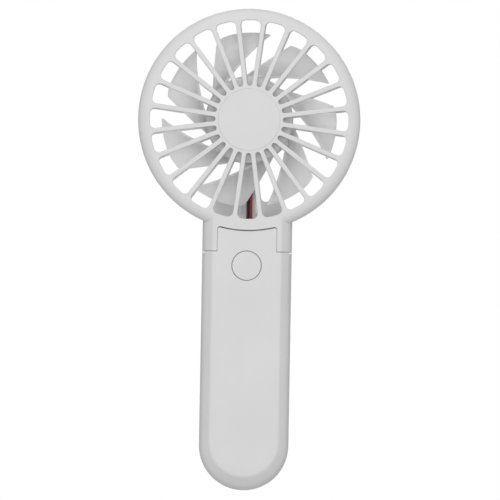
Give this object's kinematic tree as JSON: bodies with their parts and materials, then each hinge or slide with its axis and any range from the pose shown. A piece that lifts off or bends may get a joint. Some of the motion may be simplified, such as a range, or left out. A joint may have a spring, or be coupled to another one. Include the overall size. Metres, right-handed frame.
{
  "type": "handheld electric fan",
  "caption": "Rechargeable handheld fan: round head with radial-slot grilles and swept impeller, hinged to a slim rounded handle with a push button and USB-C socket.",
  "frame": {"origin": "middle of the grip, on the handle's long axis and halfway between its front and back faces", "axes": "+Z along the handle towards the head, -Y out of the front grille, +X to the right seen from the front"},
  "size_m": [0.0918, 0.031, 0.1993],
  "materials": {
    "shell_plastic": "fine satin texture, warm light grey",
    "blade_plastic": "satin, slightly translucent",
    "inner_plastic": "as moulded",
    "dark_plastic": "as moulded, black",
    "steel": "plated",
    "bronze": "sintered, oiled",
    "copper": "enamelled copper",
    "nickel": "nickel strip",
    "ferrite": "sintered ferrite, dark grey",
    "carbon": "pressed carbon",
    "board_green": "lacquered circuit board",
    "cell_wrap": "shrink sleeve",
    "clear_lens": "clear moulding",
    "lead_black": "PVC insulation, black",
    "lead_red": "PVC insulation, red"
  },
  "bodies": {
    "handle": {"handle_front_cover": "shell_plastic", "handle_rear_cover": "shell_plastic", "control_board": "board_green", "charge_board": "board_green", "usb_socket": "steel", "usb_contact_bar": "dark_plastic", "charge_light": "clear_lens", "battery_cell": "cell_wrap", "battery_tab_positive": "nickel", "battery_tab_negative": "nickel", "handle_lead_black": "lead_black", "handle_lead_red": "lead_red", "battery_lead_positive": "lead_red", "battery_lead_negative": "lead_black", "charge_lead_black": "lead_black", "charge_lead_red": "lead_red", "case_screw_1": "steel", "case_screw_2": "steel", "case_screw_3": "steel", "case_screw_4": "steel", "board_screw_1": "steel", "board_screw_2": "steel", "switch_body": "dark_plastic", "hinge_bush_left": "bronze", "hinge_bush_right": "bronze", "friction_clip": "steel"},
    "head": {"front_grille": "shell_plastic", "hub_cap": "shell_plastic", "rear_grille": "shell_plastic", "rim_screw_1": "steel", "rim_screw_2": "steel", "rim_screw_3": "steel", "rim_screw_4": "steel", "motor_case": "steel", "motor_bearing_front": "bronze", "motor_bearing_rear": "bronze", "motor_end_cap": "dark_plastic", "magnet_right": "ferrite", "magnet_left": "ferrite", "brush_upper": "carbon", "brush_lower": "carbon", "motor_terminal_left": "nickel", "motor_terminal_right": "nickel", "motor_retainer": "inner_plastic", "retainer_screw_1": "steel", "retainer_screw_2": "steel", "motor_lead_black": "lead_black", "motor_lead_red": "lead_red", "hinge_pin_left": "steel", "hinge_pin_right": "steel"},
    "impeller": {"impeller": "blade_plastic", "motor_shaft": "steel", "armature_core": "steel", "armature_winding_1": "copper", "armature_winding_2": "copper", "armature_winding_3": "copper", "commutator": "copper"},
    "button": {"power_button": "shell_plastic"},
    "plunger": {"switch_plunger": "dark_plastic"}
  },
  "joints": [
    {"name": "head_fold", "type": "hinge", "parent": "handle", "child": "head", "pos_m": [0, 0.007, 0.0537], "axis": [-1, 0, 0], "range_deg": [0, 90]},
    {"name": "impeller_spin", "type": "hinge", "parent": "head", "child": "impeller", "pos_m": [0, 0, 0.104], "axis": [0, -1, 0], "continuous": true},
    {"name": "button_press", "type": "slide", "parent": "handle", "child": "button", "axis": [0, 1, 0], "range_m": [0, 0.0004], "stiffness_N_per_m": 1000},
    {"name": "plunger_press", "type": "slide", "parent": "handle", "child": "plunger", "axis": [0, 1, 0], "range_m": [0, 0.0004]}
  ],
  "couplings": [
    {"joint": "plunger_press", "follows": "button_press", "ratio": 1}
  ]
}
